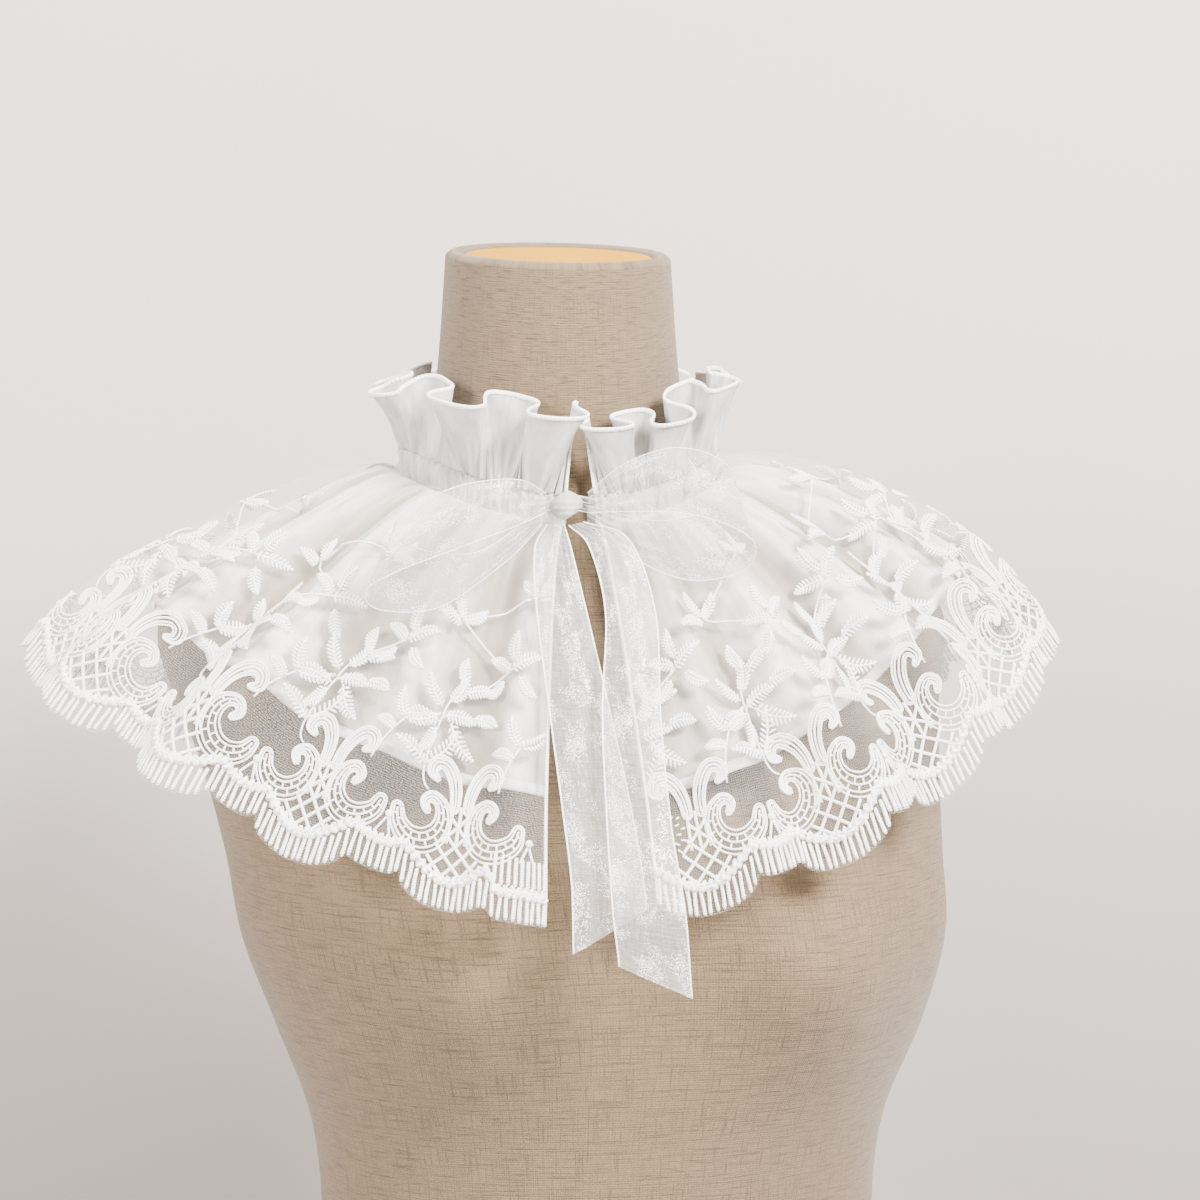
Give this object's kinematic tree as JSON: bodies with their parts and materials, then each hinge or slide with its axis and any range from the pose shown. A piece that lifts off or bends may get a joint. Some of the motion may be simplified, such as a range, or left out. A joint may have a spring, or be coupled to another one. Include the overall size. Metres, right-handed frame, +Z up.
{
  "type": "lace capelet collar on a limbless dress form",
  "caption": "Shoulder capelet collar of embroidered net with a scalloped hem, a frilled stand collar and an organza bow, worn on a linen dress form.",
  "frame": {"origin": "on the flat underside of the dress form, under the middle of its neck", "axes": "+Z up along the neck, the collar's front faces -Y, +X towards the wearer's left arm"},
  "size_m": [0.4362, 0.2806, 0.5994],
  "materials": {
    "linen": "natural unbleached linen, matte slubby plain weave",
    "wood": "pale beech, smooth satin",
    "lace": "off-white embroidered net, soft satin stitches",
    "lining": "off-white fine lawn, matte",
    "organza": "sheer white organza with a silvery glitter"
  },
  "bodies": {
    "root": {"form_torso": "linen", "form_neck_cap": "wood", "cape_lining": "lining", "lace_cape_front_right": "lace", "lace_cape_back_right": "lace", "lace_cape_back_left": "lace", "lace_cape_front_left": "lace", "neck_casing": "lace", "collar_frill": "lace", "bow_knot": "organza", "bow_loop_left": "organza", "bow_loop_right": "organza", "ribbon_tail_left": "organza", "ribbon_tail_right": "organza", "ribbon_lead_left": "organza", "ribbon_lead_right": "organza"}
  },
  "joints": []
}
